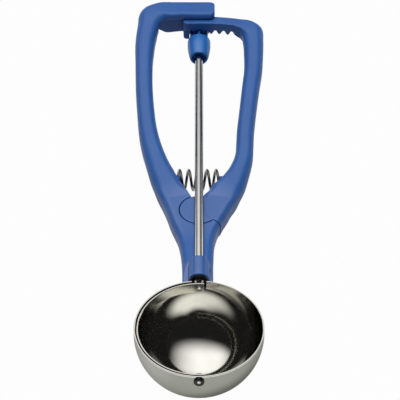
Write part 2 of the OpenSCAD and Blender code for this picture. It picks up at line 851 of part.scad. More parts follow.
// The lug at the rack's end, which meets the side of the pinion at rest
module stop_lug() {
    width = stop_left_x - stop_right_x;
    turn = asin((stop_left_x - width / 2) / rack_r);
    at_pivot() rotate([0, 0, turn]) translate([0, rack_far_r - tooth_inset, 0])
        rotate([90, 0, 0]) linear_extrude(rack_w - 2 * tooth_inset) hull() {
            translate([-width / 2, stop_bottom_z + 3]) square([width, rack_root_z + 1.5 - stop_bottom_z - 3]);
            translate([stop_round - width / 2, stop_bottom_z + stop_round]) circle(r = stop_round);
            translate([width / 2 - 0.4, stop_bottom_z]) square([0.4, 0.4]);
        }
}

module spring_pocket(side) {
    translate([side * seat_x, spring_y, spring_z]) rotate([0, -side * 90, 0])
        cylinder(r = spring_d / 2 + 0.2, h = seat_x - 2);
}

module spring_stud(side) {
    translate([side * (seat_x + 1), spring_y, spring_z]) rotate([0, -side * 90, 0])
        cylinder(r = stud_r, h = stud_len + 1);
}

// ---- the pivot ----

insert_len = 4.4;
pivot_washer_t = 0.6;
washer_top_z = hub_bottom_z + counterbore - run;

module pivot_washer() {
    color(steel) placed() at_pivot() translate([0, 0, washer_top_z - pivot_washer_t]) difference() {
        cylinder(d = pivot_head_d + 0.4, h = pivot_washer_t);
        translate([0, 0, -1]) cylinder(d = pivot_d + 0.1, h = 3);
    }
}

module pivot_screw() {
    shoulder_base = washer_top_z - pivot_washer_t;
    color(steel) placed() at_pivot() difference() {
        union() {
            translate([0, 0, shoulder_base - pivot_head_h]) cylinder(d = pivot_head_d, h = pivot_head_h);
            translate([0, 0, shoulder_base - 0.1])
                cylinder(d = pivot_d, h = lap_z + slide_gap / 2 - shoulder_base + 0.1);
            translate([0, 0, lap_z]) cylinder(d = thread_d, h = insert_len - 0.6);
        }
        translate([-pivot_head_d, -0.5, shoulder_base - pivot_head_h - 1])
            cube([2 * pivot_head_d, 1, 1.8]);
    }
}

module pivot_insert() {
    color(brass) placed() at_pivot() translate([0, 0, lap_z + slide_gap / 2]) difference() {
        cylinder(d = insert_d, h = insert_len - slide_gap / 2);
        translate([0, 0, -1]) cylinder(d = thread_d + 0.06, h = insert_len + 2);
    }
}

// ---- the return spring ----

coil_steps = 14;
coil_sides = 8;

module return_spring() {
    n = ceil(spring_turns * coil_steps);
    length = spring_len - wire_d;
    function along(t) = length * (t - 0.5);
    rings = [for (i = [0 : n])
        let (
            t = i / n,
            a = 360 * spring_turns * (t - 0.5) + 90,
            out = [0, cos(a), sin(a)],
            x = along(t)
        )
        for (k = [0 : coil_sides - 1])
            let (b = 360 * k / coil_sides)
            [x, 0, 0] + out * (spring_r + wire_d / 2 * cos(b)) + [wire_d / 2 * sin(b), 0, 0]];
    m = coil_sides;
    walls = [for (i = [0 : n - 1]) for (k = [0 : m - 1])
        [i * m + (k + 1) % m, (i + 1) * m + (k + 1) % m, (i + 1) * m + k, i * m + k]];
    near_end = [[for (k = [m - 1 : -1 : 0]) k]];
    far_end = [[for (k = [0 : m - 1]) n * m + k]];
    color(steel) placed() translate([0, spring_y, spring_z])
        polyhedron(rings, concat(near_end, walls, far_end), convexity = 20);
}

bowl();
bowl_bracket();
bracket_screws();
blade_rivet();
blade_washer();
scraper_blade();
shaft();
front_bush();
rear_bush();
pinion();
pinion_pin();
thrust_washer();
clip_washer();
end_clip();
frame_handle();
lever_handle();
pivot_screw();
pivot_washer();
pivot_insert();
return_spring();
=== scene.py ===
"""Lever ice cream scoop: its mouldings, its polished steel and the light round them."""
from math import asin, cos, pi, radians, sin, sqrt

import bmesh
import bpy
import numpy as np
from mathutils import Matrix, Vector


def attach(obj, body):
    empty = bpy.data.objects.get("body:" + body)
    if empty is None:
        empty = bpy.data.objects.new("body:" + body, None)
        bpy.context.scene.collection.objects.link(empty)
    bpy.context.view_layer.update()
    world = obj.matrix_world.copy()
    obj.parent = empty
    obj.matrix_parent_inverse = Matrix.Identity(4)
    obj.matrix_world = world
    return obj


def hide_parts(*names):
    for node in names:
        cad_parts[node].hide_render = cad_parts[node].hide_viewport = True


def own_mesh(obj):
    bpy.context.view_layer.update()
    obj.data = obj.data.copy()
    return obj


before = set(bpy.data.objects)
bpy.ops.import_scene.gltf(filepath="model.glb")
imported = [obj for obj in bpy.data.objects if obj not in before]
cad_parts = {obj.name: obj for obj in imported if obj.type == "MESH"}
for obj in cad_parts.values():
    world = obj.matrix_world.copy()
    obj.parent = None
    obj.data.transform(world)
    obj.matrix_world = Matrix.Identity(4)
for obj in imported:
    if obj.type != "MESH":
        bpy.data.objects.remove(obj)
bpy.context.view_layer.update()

# ---- the camera, in line with the shaft and looking down from the bowl's end ----

MM = 0.001
LOOK_DOWN = radians(44.59)
LOOK_AT, LOOK_DISTANCE = Vector((0, -9.463, 32.7)), 1322

camera_data = bpy.data.cameras.new("camera")
camera_data.lens = 251.1
camera_data.shift_x = 0.0025
camera_data.clip_start, camera_data.clip_end = 0.05, 20
camera = bpy.data.objects.new("camera", camera_data)
bpy.context.scene.collection.objects.link(camera)
bpy.context.scene.camera = camera
camera.location = (LOOK_AT + Vector((0, -cos(LOOK_DOWN), sin(LOOK_DOWN))) * LOOK_DISTANCE) * MM
camera.rotation_euler = (pi / 2 - LOOK_DOWN, 0, 0)

# ---- sizes in millimetres, as the solids have them; places are from the bowl's centre ----

BOWL_R, BOWL_WALL, COLLAR = 29, 0.7, 3
BOWL_OUT = BOWL_R + BOWL_WALL
BLADE_T, BLADE_HALF_W, BLADE_GAP = 0.8, 2.8, 0.45
BLADE_OUT = BOWL_R - BLADE_GAP
BLADE_IN = BLADE_OUT - BLADE_T
SHAFT_R, TENON, SHANK, SLOT_R = 2, 1.7, 2.2, 3.4
RIVET_R, RIVET_HEAD_R, RIVET_HEAD_H = 1.4, 2.45, 1.1
NECK_W, NECK_LEAN, BOSS_R, BOSS_LEN = 14.5, 0.6, 4.75, 12
NOTCH_LEN, SHOULDER_FALL = 2.8, 2.4
TONGUE_LEN, BRACKET_SCREWS_AT = 17, (0.36, 0.78)
PIVOT_Y, HUB_R, HUB_H, HUB_UNDER, NECK_STEP = 82, 9.25, 12, 0.6, 1.6
LOOP_HALF_W, GRIP_W, GRIP_H, LEVER_H = 32, 9.3, 12, 10.8
ARM_DEPTH, ARM_REACH, ARM_DROP, BACK_WALL, ROOF_T = 10.9, 7.9, 0.6, 6.8, 3.3
TEETH, PITCH, RATIO, ADDENDUM, RACK_TEETH = 6, 4.2, 30.5, 0.95, range(-5, 1)
RACK_W, RACK_BAR, STOP_W = 5.6, 5.1, 3
PINION_R, NOSE_R, PINION_LEN = 5.75, 4.6, 15
WIRE_R, COIL_R, COIL_TURNS = 0.7, 4.8, 5
SLIDE, SEAT, RUN = 0.3, 0.1, 0.05
LUG_R, STUD_R, INSERT_ROOM_R = 5.5, 2, 3.6
FLANGE_ROOM_R, REAR_BUSH_ROOM_R, CLIP_ROOM_R, CLIP_ROOM_DEPTH = 4.5, 3.3, 4.1, 1.9
SCREW_ROOM_R, HEAD_ROOM_R, HEAD_ROOM_DEPTH, BRACKET_SCREW_ROOM_R = 2.55, 5, 3, 2.9

PITCH_R = TEETH * PITCH / (2 * pi)
RACK_R = RATIO * PITCH_R
MESH_Y = PIVOT_Y + RACK_R
RACK_NEAR, RACK_FAR = RACK_R - RACK_W / 2, RACK_R + RACK_W / 2
TOOTH_ANGLE = 360 / (RATIO * TEETH)
TIP_R, ROOT_R = PITCH_R + ADDENDUM, PITCH_R - ADDENDUM - SLIDE
RACK_TIP_Z, RACK_ROOT_Z = PITCH_R - ADDENDUM, TIP_R + SLIDE
RACK_TOP_Z = RACK_ROOT_Z + RACK_BAR
HUB_TOP = -SHAFT_R - HUB_UNDER
HUB_MID, HUB_BOTTOM = HUB_TOP - HUB_H / 2, HUB_TOP - HUB_H
NECK_TOP = HUB_TOP + NECK_STEP
CHANNEL_R = RACK_FAR + 3 * SLIDE
FAR_Y = PIVOT_Y + CHANNEL_R + BACK_WALL
LOOP_LEN = FAR_Y - PIVOT_Y
RISE_Y = PIVOT_Y + HUB_R
ROOF_UNDER = RACK_TOP_Z + SLIDE
ARM_TOP = ROOF_UNDER + ROOF_T
ARM_H = ARM_TOP + ARM_DROP
FRAME_RISE = (ARM_TOP - HUB_TOP) / (FAR_Y - ARM_DEPTH / 2 - RISE_Y)
LEVER_RISE = (RACK_TOP_Z - HUB_TOP) / (MESH_Y - RISE_Y)
STOP_LEFT = TIP_R * sin(2 * pi / TEETH) + 2 * SLIDE + STOP_W
RACK_END = asin(STOP_LEFT / RACK_R) * 180 / pi
STROKE_X = RACK_R * sin(pi / RATIO)
BOSS_FRONT = BOWL_OUT + NOTCH_LEN
BOSS_BACK = BOSS_FRONT + BOSS_LEN
SPRING_Y, SPRING_Z, SEAT_X, POCKET_R = PIVOT_Y + 25.4, -8, 11.8, COIL_R + WIRE_R + 0.2
FRONT_Y = -BOWL_OUT - RIVET_HEAD_H
MIDDLE_Y = (FRONT_Y + FAR_Y) / 2


# ---- making meshes: points are in millimetres until a piece is placed ----

def solid(name, points, faces):
    mesh = bpy.data.meshes.new(name)
    mesh.from_pydata([tuple(p) for p in points], [], faces)
    shape = bmesh.new()
    shape.from_mesh(mesh)
    bmesh.ops.recalc_face_normals(shape, faces=shape.faces)
    shape.to_mesh(mesh)
    shape.free()
    piece = bpy.data.objects.new(name, mesh)
    bpy.context.scene.collection.objects.link(piece)
    return piece


def rings(name, rows, looped=False):
    """A skin over rings of as many points each, capped at both ends unless it is looped."""
    rows = np.asarray(rows, float)
    count, n = rows.shape[:2]
    faces = []
    for i in range(count if looped else count - 1):
        j = (i + 1) % count
        for k in range(n):
            m = (k + 1) % n
            faces.append((i * n + k, i * n + m, j * n + m, j * n + k))
    if not looped:
        faces.append(tuple(range(n))[::-1])
        faces.append(tuple((count - 1) * n + k for k in range(n)))
    return solid(name, rows.reshape(-1, 3), faces)


def aimed(points, start, axis):
    """Points round the Z axis, turned to lie round another axis and moved to start."""
    if axis == "Y":
        points = [(x, z, -y) for x, y, z in points]
    elif axis == "X":
        points = [(z, y, -x) for x, y, z in points]
    return [np.add(start, p) for p in points]


def turned(name, outline, start=(0, 0, 0), axis="Z", sides=96):
    """A closed outline of (radius, height) turned about an axis from start."""
    turns = [2 * pi * k / sides for k in range(sides)]
    return rings(name, [aimed([(r * cos(a), r * sin(a), h) for r, h in outline], start, axis)
                        for a in turns], looped=True)


def drum(name, radius, low, high, start=(0, 0, 0), axis="Z", sides=64):
    """A plain cylinder, for cutting and joining."""
    turns = [2 * pi * k / sides for k in range(sides)]
    return rings(name, [aimed([(radius * cos(a), radius * sin(a), h) for a in turns], start, axis)
                        for h in (low, high)])


def prism(name, outline, low, high):
    """An outline in plan, carried up from low to high."""
    return rings(name, [[(x, y, z) for x, y in outline] for z in (low, high)])


def block(name, low, high):
    (x0, y0, z0), (x1, y1, z1) = low, high
    return prism(name, [(x0, y0), (x1, y0), (x1, y1), (x0, y1)], z0, z1)


def ball(name, radius):
    piece = solid(name, [], [])
    shape = bmesh.new()
    bmesh.ops.create_uvsphere(shape, u_segments=128, v_segments=64, radius=radius)
    shape.to_mesh(piece.data)
    shape.free()
    return piece


def sector(name, near, far, low, high, start, end):
    """Part of a ring about the pivot; angles in degrees count from +Y towards -X."""
    steps = 90
    turns = [radians(start + (end - start) * k / steps) for k in range(steps + 1)]
    return rings(name, [[(-r * sin(a), PIVOT_Y + r * cos(a), z)
                         for r, z in ((near, low), (far, low), (far, high), (near, high))]
                        for a in turns])


def settle(piece):
    """Turns the piece's modifiers into its mesh."""
    graph = bpy.context.evaluated_depsgraph_get()
    mesh = bpy.data.meshes.new_from_object(piece.evaluated_get(graph))
    old = piece.data
    piece.modifiers.clear()
    piece.data = mesh
    bpy.data.meshes.remove(old)


def combine(piece, tools, how):
    """Cuts, joins or trims the piece with each tool in turn, and uses the tool up."""
    for tool in tools:
        step = piece.modifiers.new(how, "BOOLEAN")
        step.operation, step.solver, step.object = how, "EXACT", tool
        settle(piece)
        old = tool.data
        bpy.data.objects.remove(tool)
        bpy.data.meshes.remove(old)
    return piece


def cut(piece, *tools):
    return combine(piece, tools, "DIFFERENCE")


def join(piece, *tools):
    return combine(piece, tools, "UNION")


def soften(piece, voxel, rounds):
    """Gives a moulding its one even skin with small round edges."""
    skin = piece.modifiers.new("skin", "REMESH")
    skin.mode, skin.voxel_size, skin.use_smooth_shade = "VOXEL", voxel, True
    relax = piece.modifiers.new("relax", "SMOOTH")
    relax.factor, relax.iterations = 0.5, rounds
    settle(piece)


def place(piece, body, material, slot, *nodes, sharp=None):
    """Moves a piece from millimetres about the bowl into the row frame and onto its body.

    Edges over sharp degrees stay sharp; without it the whole piece is smooth.
    """
    co = np.array([v.co for v in piece.data.vertices], float)
    co = (co + (0, -MIDDLE_Y, BOWL_OUT)) * MM
    piece.data.vertices.foreach_set("co", co.astype(np.float32).ravel())
    piece.data.update()
    if sharp is None:
        piece.data.shade_smooth()
    else:
        piece.data.set_sharp_from_angle(angle=radians(sharp))
        for face in piece.data.polygons:
            face.use_smooth = True
    piece.data.materials.clear()
    piece.data.materials.append(material)
    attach(piece, body)
    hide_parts(*nodes)
    return piece


# ---- shader sums ----

class Value:
    """A node's output; arithmetic on it adds Math nodes."""

    def __init__(self, graph, socket):
        self.graph, self.socket = graph, socket

    def math(self, operation, *values):
        return self.graph.node("ShaderNodeMath", {"operation": operation}, dict(enumerate(values)))

    def __add__(self, other):
        return self.math("ADD", self, other)

    def __radd__(self, other):
        return self.math("ADD", other, self)

    def __sub__(self, other):
        return self.math("SUBTRACT", self, other)

    def __rsub__(self, other):
        return self.math("SUBTRACT", other, self)

    def __mul__(self, other):
        return self.math("MULTIPLY", self, other)

    def __rmul__(self, other):
        return self.math("MULTIPLY", other, self)

    def __truediv__(self, other):
        return self.math("DIVIDE", self, other)

    def __abs__(self):
        return self.math("ABSOLUTE", self)

    def at_least(self, other):
        return self.math("MAXIMUM", self, other)

    def ease(self, low, high, start=0, end=1):
        """From start to end as the value goes from low to high."""
        return self.graph.node("ShaderNodeMapRange", {"interpolation_type": "SMOOTHSTEP"},
                               {0: self, 1: low, 2: high, 3: start, 4: end})

    def axis(self, name):
        return self.graph.node("ShaderNodeSeparateXYZ", {}, {0: self}, output=name)

    def stretched(self, factors):
        return self.graph.node("ShaderNodeVectorMath", {"operation": "MULTIPLY"},
                               {0: self, 1: factors})

    def distance(self, point):
        return self.graph.node("ShaderNodeVectorMath", {"operation": "DISTANCE"},
                               {0: self, 1: point}, output="Value")


class Graph:
    def __init__(self, tree):
        self.tree = tree
        tree.nodes.clear()

    def node(self, kind, settings, inputs, output=0):
        """A node of a kind; each input is a number, a tuple or another node's Value."""
        made = self.tree.nodes.new(kind)
        for name, value in settings.items():
            setattr(made, name, value)
        for name, value in inputs.items():
            if isinstance(value, Value):
                self.tree.links.new(value.socket, made.inputs[name])
            else:
                made.inputs[name].default_value = value
        return Value(self, made.outputs[output])

    def place_in(self, stretch=(1, 1, 1)):
        """Where a point is on the resting object, in millimetres, each axis times its stretch."""
        at = self.node("ShaderNodeTexCoord", {}, {}, output="Object")
        return at.stretched(tuple(1000 * s for s in stretch))

    def facing_up(self):
        """How much the surface faces up, from -1 to 1."""
        return self.node("ShaderNodeNewGeometry", {}, {}, output="Normal").axis("Z")

    def noise(self, at, size, detail=2, rough=0.5):
        """Noise from 0 to 1 whose blots are about size across, in the units of at."""
        return self.node("ShaderNodeTexNoise", {},
                         {"Vector": at, "Scale": 1 / size, "Detail": detail, "Roughness": rough})

    def blend(self, share, first, second):
        first, second = [c if isinstance(c, Value) else (*c, 1) for c in (first, second)]
        return self.node("ShaderNodeMix", {"data_type": "RGBA"},
                         {0: share, 6: first, 7: second}, output=2)

    def bump(self, height, strength, distance):
        return self.node("ShaderNodeBump", {},
                         {"Height": height, "Strength": strength, "Distance": distance * MM})

    def principled(self, **sockets):
        """The surface shader; an underscore in a socket's name stands for a space."""
        return self.node("ShaderNodeBsdfPrincipled", {},
                         {name.replace("_", " "): value for name, value in sockets.items()})

    def surface(self, shader, end="ShaderNodeOutputMaterial"):
        self.tree.links.new(shader.socket, self.tree.nodes.new(end).inputs["Surface"])


def material(name):
    made = bpy.data.materials.new(name)
    made.use_nodes = True
    return made, Graph(made.node_tree)


def nylon(name, colour, deep, rough, polish=0.25):
    """Moulded nylon, rubbed smooth on top round the pivot and on the neck's boss."""
    made, g = material(name)
    at = g.place_in()
    by_pivot = at.distance((0, PIVOT_Y - MIDDLE_Y, BOWL_OUT)).ease(11, 26, 0.6, 0)
    by_bowl = at.axis("Y").ease(BOSS_BACK - MIDDLE_Y, BOSS_BACK + 3 - MIDDLE_Y, 0.8, 0)
    drift = g.noise(at, 22, 3).ease(0.3, 0.7)
    grain = g.noise(at, 0.35, 2)
    rub = g.noise(g.place_in((1, 0.2, 1)), 1.6, 4, 0.65).ease(0.52, 0.78)
    coat = g.facing_up().ease(0.55, 0.95) * (by_pivot + by_bowl + polish)
    g.surface(g.principled(
        Base_Color=g.blend(drift * 0.5 + rub * 0.12, deep, colour),
        Roughness=rough + (grain - 0.5) * 0.1 + rub * 0.06,
        IOR=1.5, Specular_IOR_Level=0.32,
        Coat_Weight=coat.at_least(0), Coat_Roughness=0.32, Coat_IOR=1.8,
        Normal=g.bump(grain + rub * 0.4, 0.18, 0.05)))
    return made


def steel(name, colour, rough, stretch=(1, 1, 1), size=0.4, bump=0.1, edge=1.0):
    """Steel with fine polishing lines along the axis whose stretch is small.

    An edge below 1 darkens what is seen at a glancing angle.
    """
    made, g = material(name)
    lines = g.noise(g.place_in(stretch), size, 3, 0.6)
    blots = g.noise(g.place_in(), 7, 3).ease(0.35, 0.7)
    shade = tuple(c * 0.86 for c in colour)
    g.surface(g.principled(
        Base_Color=g.blend(lines * 0.6 + blots * 0.4, shade, colour),
        Metallic=1.0, Specular_Tint=(edge, edge, edge, 1),
        Roughness=rough * (0.75 + 0.5 * lines) + blots * 0.03,
        Normal=g.bump(lines, bump, 0.02)))
    return made


def bowl_steel():
    """Mirror polished inside, satin outside with painted dark and light reflections."""
    made, g = material("bowl_steel")
    at = g.place_in()
    out = at.distance((0, -MIDDLE_Y, BOWL_OUT))
    height = at.axis("Z")
    lip = height.ease(BOWL_OUT + COLLAR - 0.7, BOWL_OUT + COLLAR - 0.4)
    inside = lip.at_least(1 - out.ease(BOWL_R + 0.2, BOWL_R + 0.5))
    # Painted reflections: outside painted darker low down and to the right, lighter on the left
    low = (height - 0.35 * at.axis("X")).ease(9, 23, 0.75, 0)
    left = at.axis("X").ease(-27, -8, 0.35, 0)
    satin = g.noise(g.place_in((1, 1, 0.35)), 0.55, 3, 0.7)
    blots = g.noise(at, 9, 3).ease(0.35, 0.7)
    wipes = g.noise(g.place_in((0.2, 1, 1)), 2.4, 3, 0.6).ease(0.45, 0.75)
    outer = g.blend(satin, (0.31, 0.315, 0.28), (0.40, 0.405, 0.36))
    # The painted reflections: light on the left, near black low down
    outer = g.blend(low, g.blend(left, outer, (0.8, 0.8, 0.77)), (0.04, 0.042, 0.036))
    inner = g.blend(blots, (0.74, 0.735, 0.69), (0.80, 0.79, 0.75))
    rough_in, rough_out = 0.07, 0.34
    g.surface(g.principled(
        Base_Color=g.blend(inside, outer, inner),
        Metallic=1.0, Specular_Tint=(0.5, 0.5, 0.48, 1),
        Roughness=(inside * (rough_in + wipes * 0.05 - rough_out) + rough_out
                   + satin * 0.06 * (1 - inside)),
        Normal=g.bump(satin * (1 - inside) + wipes * inside * 0.15, 0.12, 0.02)))
    return made


def rivet_steel():
    """Steel painted dark, with a painted highlight in the middle of the head."""
    made, g = material("rivet_steel")
    out = g.place_in().stretched((1, 0, 1)).distance((0, 0, BOWL_OUT + 0.45))
    scuff = g.noise(g.place_in(), 0.3, 2)
    # Painted highlight in the middle of the head, with a painted dark reflection round it
    painted_highlight = (out + scuff * 0.3).ease(0.6, 1.2, 1, 0)
    g.surface(g.principled(
        Base_Color=g.blend(painted_highlight, (0.035, 0.035, 0.03), (0.62, 0.61, 0.58)),
        Metallic=1.0,
        Roughness=0.22 + scuff * 0.1))
    return made


BLUE = nylon("handle_nylon", (0.027, 0.114, 0.375), (0.021, 0.098, 0.340), rough=0.46)
PINION_BLUE = nylon("pinion_nylon", (0.024, 0.160, 0.500), (0.018, 0.135, 0.450), rough=0.34,
                    polish=0.5)
BLACK = nylon("bush_acetal", (0.002, 0.009, 0.017), (0.002, 0.006, 0.012), rough=0.5,
              polish=-0.8)
BOWL_STEEL = bowl_steel()
BLADE_STEEL = steel("blade_steel", (0.80, 0.79, 0.74), rough=0.12, stretch=(1, 0.1, 0.1), size=0.3)
SHAFT_STEEL = steel("shaft_steel", (0.94, 0.935, 0.91), rough=0.15, stretch=(1, 0.04, 1),
                    size=0.25, bump=0.05, edge=0.1)
RIVET_STEEL = rivet_steel()
FASTENER_STEEL = steel("fastener_steel", (0.55, 0.55, 0.54), rough=0.3)
BRACKET_STEEL = steel("bracket_steel", (0.52, 0.51, 0.49), rough=0.32, stretch=(0.3, 1, 1),
                      size=0.6)
SPRING_STEEL = steel("spring_steel", (0.21, 0.205, 0.19), rough=0.22)
BRASS = steel("insert_brass", (0.70, 0.52, 0.24), rough=0.3)


# ---- the grips: a rounded section carried along a row of stations ----

# A station is (outer x, outer y, direction to the inner edge, width, height, corner share)
GRIP_ROUND, HUB_ROUND, ARM_ROUND, RACK_ROUND, UNDER_ROUNDER = 0.8, 0.55, 0.34, 0.2, 0.2
STEPS, CORNER = 7, 8


def stations(rows):
    """A smooth row of stations through the chosen ones."""
    rows = np.array(rows, float)
    last = len(rows) - 1
    made = []
    for k in range(last):
        a, b, c, d = (rows[i] for i in (max(k - 1, 0), k, k + 1, min(k + 2, last)))
        for t in np.arange(STEPS) / STEPS:
            made.append((2 * b + (c - a) * t + (2 * a - 5 * b + 4 * c - d) * t ** 2
                         + (3 * b - a - 3 * c + d) * t ** 3) / 2)
    return made + [rows[last]]


def top_z(y, rise):
    """The height of a moulding's top at a distance along the scoop."""
    before_hub = max(0, PIVOT_Y - HUB_R - y) / (PIVOT_Y - HUB_R)
    return HUB_TOP + max(0, y - RISE_Y) * rise + before_hub * (NECK_TOP - HUB_TOP)


def section(x, y, turn, w, h, share, rise):
    """The rounded section at one station, rounder below than above."""
    a, b = w / 2, h / 2
    across = np.array((cos(radians(turn)), sin(radians(turn))))
    middle = np.array((x, y)) + across * a
    middle_z = top_z(middle[1], rise) - b
    ring = []
    for quarter in range(4):
        upper = quarter < 2
        r = min(a, b) * (share if upper else min(1, share + UNDER_ROUNDER))
        right = 1 if quarter in (0, 3) else -1
        up = 1 if upper else -1
        for k in range(CORNER):
            t = radians(90 * (quarter + k / (CORNER - 1)))
            p = middle + across * (right * (a - r) + r * cos(t))
            ring.append((p[0], p[1], middle_z + up * (b - r) + r * sin(t)))
    return ring


def loft(name, rows, rise):
    return rings(name, [section(*s, rise) for s in stations(rows)])


# Stations of the neck, of the handle loop in shares of its size, of the cross arm and the rack

def frame_row(y, left, right):
    return (-NECK_W / 2 - NECK_LEAN - left, y, 0, NECK_W + left + right, HUB_H, HUB_ROUND)


def loop_row(x, y, turn, w, h, share=GRIP_ROUND):
    return (x * LOOP_HALF_W, PIVOT_Y + y * LOOP_LEN, turn, w * GRIP_W, h, share)


def arm_row(x, y, turn, w, h):
    return (x, y, turn, w, h, ARM_ROUND)


def rack_row(turn, out, a, w, h):
    r, t = RACK_FAR + out, radians(turn)
    return (r * sin(t), PIVOT_Y + r * cos(t), a, w, h, RACK_ROUND)


FRAME_ROWS = [
    frame_row(BOWL_OUT - 6, 0, 0),
    frame_row(BOSS_BACK, 0, 0),
    frame_row(BOSS_BACK + 10, 0.5, 0.2),
    frame_row(PIVOT_Y - 2.2 * HUB_R, 1.4, 0.5),
    frame_row(PIVOT_Y - 1.7 * HUB_R, 2.4, 1.2),
    frame_row(PIVOT_Y - 1.2 * HUB_R, 4, 2.3),
    loop_row(-0.424, -0.045, 3, 2.65, HUB_H, HUB_ROUND),
    loop_row(-0.489, 0.012, 10, 2.7, HUB_H, HUB_ROUND),
    loop_row(-0.548, 0.054, 12, 1.95, HUB_H, HUB_ROUND),
    loop_row(-0.621, 0.097, 6, 1.57, HUB_H, HUB_ROUND),
    loop_row(-0.684, 0.136, 0, 1.56, HUB_H),
    loop_row(-0.733, 0.172, 0, 1.5, GRIP_H),
    loop_row(-0.806, 0.245, 0, 1.23, GRIP_H),
    loop_row(-0.875, 0.32, 0, 1.08, GRIP_H),
    loop_row(-0.92, 0.397, 0, 0.97, GRIP_H),
    loop_row(-0.948, 0.486, 0, 0.91, GRIP_H),
    loop_row(-0.976, 0.595, 0, 0.9, GRIP_H),
    loop_row(-0.988, 0.715, 0, 0.92, GRIP_H),
    loop_row(-0.996, 0.785, -2, 1.02, GRIP_H),
    loop_row(-0.987, 0.842, -13, 1.08, GRIP_H),
    loop_row(-0.965, 0.9, -30, 1.23, GRIP_H),
    loop_row(-0.94, 0.957, -42, 1.46, GRIP_H),
    loop_row(-0.83, 0.992, -52, 1.5, GRIP_H),
    arm_row(-0.62 * LOOP_HALF_W, FAR_Y, -66, 1.12 * ARM_DEPTH, ARM_H),
    arm_row(-0.38 * LOOP_HALF_W, FAR_Y, -84, ARM_DEPTH, ARM_H),
    arm_row(-0.12 * LOOP_HALF_W, FAR_Y, -90, ARM_DEPTH, ARM_H),
    arm_row(ARM_REACH - 2.8, FAR_Y, -90, ARM_DEPTH, ARM_H),
    arm_row(ARM_REACH - 1.2, FAR_Y - 0.5, -90, ARM_DEPTH - 1, ARM_H - 0.6),
    arm_row(ARM_REACH - 0.4, FAR_Y - 1.3, -90, ARM_DEPTH - 2.5, ARM_H - 1.8),
    arm_row(ARM_REACH - 0.05, FAR_Y - 2.1, -90, ARM_DEPTH - 4.1, ARM_H - 3.2),
    arm_row(ARM_REACH, FAR_Y - 2.8, -90, ARM_DEPTH - 5.4, ARM_H - 4.6),
]
LEVER_ROWS = [
    loop_row(0.25, -0.11, 145, 1.1, HUB_H, HUB_ROUND),
    loop_row(0.322, -0.062, 150, 1.15, HUB_H, HUB_ROUND),
    loop_row(0.422, -0.01, 160, 1.5, HUB_H, HUB_ROUND),
    loop_row(0.486, 0.027, 165, 1.62, HUB_H, HUB_ROUND),
    loop_row(0.558, 0.061, 170, 1.76, HUB_H, HUB_ROUND),
    loop_row(0.631, 0.097, 175, 1.76, HUB_H),
    loop_row(0.694, 0.136, 180, 1.73, HUB_H),
    loop_row(0.735, 0.172, 180, 1.41, LEVER_H + 0.6),
    loop_row(0.784, 0.223, 180, 1.11, LEVER_H),
    loop_row(0.818, 0.278, 180, 0.94, LEVER_H),
    loop_row(0.83, 0.338, 180, 0.91, LEVER_H),
    loop_row(0.842, 0.397, 180, 0.91, LEVER_H),
    loop_row(0.88, 0.495, 180, 0.9, LEVER_H),
    loop_row(0.933, 0.605, 180, 0.93, LEVER_H),
    loop_row(0.982, 0.695, 180, 0.97, LEVER_H),
    loop_row(1.004, 0.785, 181, 1.04, LEVER_H),
    loop_row(1.009, 0.845, 192, 1.11, LEVER_H),
    loop_row(0.992, 0.902, 214, 1.27, LEVER_H),
    rack_row(12, 0.1, 228, 7.9, LEVER_H - 2.2),
    rack_row(9.7, 0, 245, 6.4, RACK_BAR + 2),
    rack_row(8.2, 0, 262, RACK_W, RACK_BAR),
    rack_row(5, 0, 265, RACK_W, RACK_BAR),
    rack_row(1, 0, 269, RACK_W, RACK_BAR),
    rack_row(0.6 - RACK_END, 0, 273, RACK_W, RACK_BAR),
    rack_row(-RACK_END, -0.8, 274, RACK_W - 1.6, RACK_BAR - 1),
]

# The seam between the frame and the lever, from the right of the hub round to its far side
SEAM_X, SEAM_SLOPE, CROTCH_X = 5.9, -0.15, -3.8
SEAM_FAR_X = LOOP_HALF_W + GRIP_W
SEAM_END_Y = PIVOT_Y + 0.3 * LOOP_LEN


def lever_side(gap):
    """In plan, what belongs to the lever, with the frame's side moved out by gap."""
    y = PIVOT_Y - sqrt(HUB_R ** 2 - SEAM_X ** 2) - gap
    return [(SEAM_X - 3, y + 3), (SEAM_X, y + 0.5), (SEAM_X + 1.2, y + 0.25),
            (SEAM_X + 2.4, y - 0.3), (SEAM_X + 4.4, y - 1.5),
            (SEAM_FAR_X, y - 1.5 + (SEAM_FAR_X - SEAM_X - 4.4) * SEAM_SLOPE),
            (SEAM_FAR_X, SEAM_END_Y), (CROTCH_X - 6, SEAM_END_Y),
            (CROTCH_X - 6, PIVOT_Y + HUB_R + 12.5), (CROTCH_X, PIVOT_Y + HUB_R - 0.2)]


def at_pivot(name, radius, low, high):
    return drum(name, radius, low, high, (0, PIVOT_Y, 0), sides=128)


def along(name, radius, start, end):
    return drum(name, radius, start, end, axis="Y")


def arch(name, radius, reach, start, end):
    """A half round along the shaft with straight sides that reach to a height."""
    up = -1 if reach > 0 else 1
    half = [(radius * cos(t), up * radius * sin(t)) for t in np.linspace(0, pi, 41)]
    flat = [*half, (-radius, reach), (radius, reach)]
    return rings(name, [[(x, y, z) for x, z in flat] for y in (start, end)])


def spring_pocket(side, shift=0.0):
    """The room for one end of the spring, from its seat towards the middle."""
    ends = sorted((side * SEAT_X, side * 2))
    return drum("pocket", POCKET_R, *ends, (0, SPRING_Y + shift, SPRING_Z), "X")


def spring_stud(side):
    ends = sorted((side * (SEAT_X + 1), side * (SEAT_X - 3)))
    return drum("stud", STUD_R, *ends, (0, SPRING_Y, SPRING_Z), "X")


def neck_shoulders():
    """What is taken off the neck's top beside the boss."""
    start, end = BOSS_BACK + 2, BOWL_OUT - 5
    top = top_z(start, 0)
    low = top - SHOULDER_FALL * (start - end) / (start - BOWL_OUT)
    side = [(start, top), (start, top + 5), (0, top + 5), (end, low)]
    return rings("shoulders", [[(x, y, z) for y, z in side] for x in (-NECK_W, NECK_W)])


